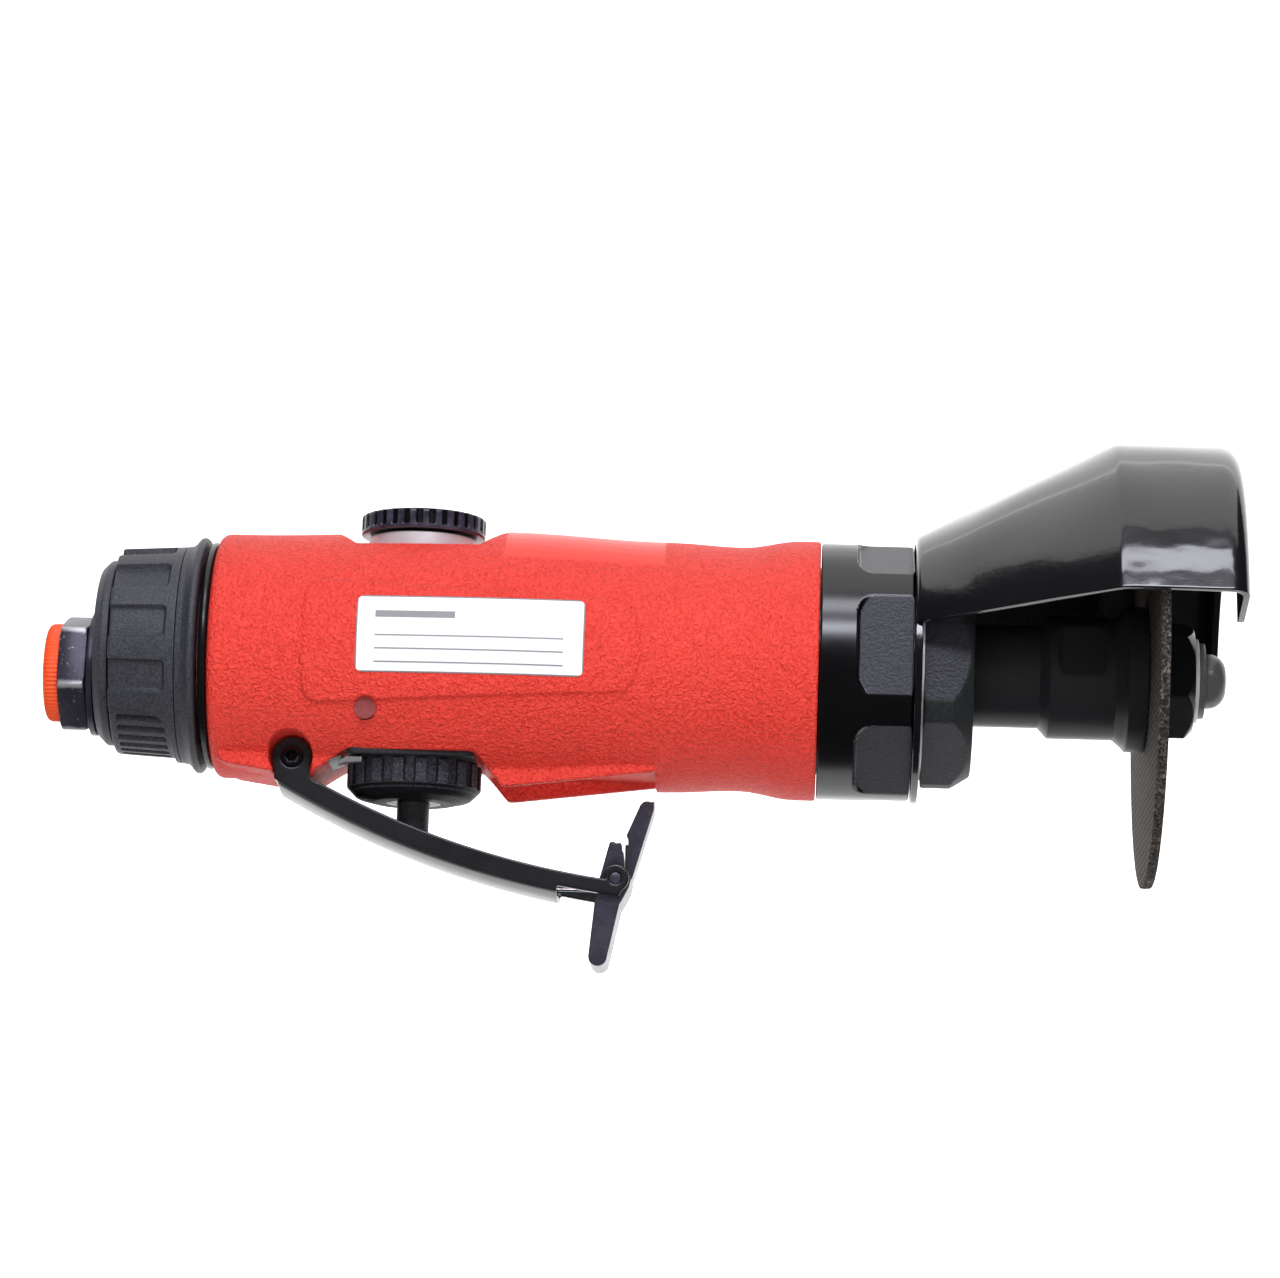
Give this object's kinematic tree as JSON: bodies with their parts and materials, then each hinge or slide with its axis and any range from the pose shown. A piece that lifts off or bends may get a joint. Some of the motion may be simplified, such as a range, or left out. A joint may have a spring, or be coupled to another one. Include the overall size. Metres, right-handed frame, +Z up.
{
  "type": "pneumatic cut-off tool",
  "caption": "Straight air-driven cut-off tool with a moulded grip, squeeze lever with folding lock, regulator and reverse knobs, turning exhaust sleeve and a guarded abrasive wheel.",
  "frame": {"origin": "on the axis of the air inlet, at the rear end of the inlet thread's wall", "axes": "+X along the tool from the air inlet to the wheel, +Z up from the lever side to the top knob"},
  "size_m": [0.2163, 0.0846, 0.0989],
  "materials": {
    "red_grip": "fine moulded texture",
    "black_plastic": "fine grain",
    "black_gloss_plastic": "semi gloss",
    "orange_plastic": "semi gloss",
    "black_steel": "black oxide, satin",
    "guard_paint": "gloss black paint",
    "bright_steel": "bright",
    "inlet_steel": "darkened, bright edges",
    "rubber": "smooth",
    "felt": "felt",
    "fibre": "pressed fibre",
    "brass": "turned",
    "aluminium": "turned",
    "abrasive": "resin-bonded grit with glass mesh"
  },
  "bodies": {
    "housing": {"housing": "red_grip", "inlet_bushing": "inlet_steel", "inlet_screen": "bright_steel", "rear_cap": "black_plastic", "deflector_seal": "rubber", "muffler_ring": "felt", "reverse_ring": "bright_steel", "dial_detent": "bright_steel", "valve_bushing": "black_steel", "valve_spring": "bright_steel", "lever_pin": "black_steel", "motor_gasket": "fibre", "rear_end_plate": "aluminium", "motor_cylinder": "bright_steel", "front_end_plate": "aluminium", "cylinder_dowel": "bright_steel", "clamp_washer": "bright_steel", "rear_bearing_outer": "bright_steel", "front_bearing_outer": "bright_steel", "clamp_nut": "black_steel", "guard_washer": "bright_steel", "guard_nut": "black_steel"},
    "dust_plug": {"dust_plug": "orange_plastic"},
    "deflector": {"exhaust_deflector": "black_plastic"},
    "reverse_knob": {"reverse_knob": "black_gloss_plastic", "knob_screw": "bright_steel", "reverse_spool": "brass", "spool_seal": "rubber"},
    "regulator": {"regulator_dial": "black_gloss_plastic"},
    "lever": {"throttle_lever": "black_steel", "lock_pin": "black_steel", "lock_spring": "bright_steel"},
    "safety_lock": {"safety_lock": "black_gloss_plastic"},
    "valve": {"valve_stem": "black_steel", "valve_seal": "rubber"},
    "spindle": {"rotor": "bright_steel", "vanes": "fibre", "rear_bearing_inner": "bright_steel", "rear_bearing_balls": "bright_steel", "front_bearing_inner": "bright_steel", "front_bearing_balls": "bright_steel", "spindle": "black_steel", "cutoff_wheel": "abrasive", "outer_flange": "black_steel", "flat_washer": "bright_steel", "lock_washer": "black_steel", "arbor_screw": "black_steel"},
    "guard": {"guard": "guard_paint"}
  },
  "joints": [
    {"name": "plug_pull", "type": "slide", "parent": "housing", "child": "dust_plug", "axis": [-1, 0, 0], "range_m": [0, 0.04]},
    {"name": "deflector_turn", "type": "hinge", "parent": "housing", "child": "deflector", "pos_m": [0, 0, 0.0039], "axis": [1, 0, 0], "continuous": true},
    {"name": "reverse_turn", "type": "hinge", "parent": "housing", "child": "reverse_knob", "pos_m": [0.061, 0, 0], "axis": [0, 0, 1], "range_deg": [0, 90]},
    {"name": "regulator_turn", "type": "hinge", "parent": "housing", "child": "regulator", "pos_m": [0.061, 0, 0], "axis": [0, 0, 1], "range_deg": [-90, 90]},
    {"name": "lever_squeeze", "type": "hinge", "parent": "housing", "child": "lever", "pos_m": [0.0393, 0, -0.0156], "axis": [0, -1, 0], "range_deg": [0, 9], "stiffness_Nm_per_rad": 1.2, "springref_deg": -8.59},
    {"name": "lock_fold", "type": "hinge", "parent": "lever", "child": "safety_lock", "pos_m": [0.0986, 0, -0.0362], "axis": [0, -1, 0], "range_deg": [0, 80], "deforming": ["lock_spring"]},
    {"name": "valve_push", "type": "slide", "parent": "housing", "child": "valve", "axis": [0, 0, 1], "range_m": [0, 0.0041], "deforming": ["valve_spring"]},
    {"name": "spindle_spin", "type": "hinge", "parent": "housing", "child": "spindle", "pos_m": [0, 0, 0.0039], "axis": [1, 0, 0], "continuous": true},
    {"name": "guard_turn", "type": "hinge", "parent": "housing", "child": "guard", "pos_m": [0, 0, 0.0039], "axis": [1, 0, 0], "continuous": true}
  ],
  "couplings": [
    {"joint": "lock_fold", "follows": "lever_squeeze", "ratio": 8.8869},
    {"joint": "valve_push", "follows": "lever_squeeze", "m_per_rad": 0.0255}
  ]
}
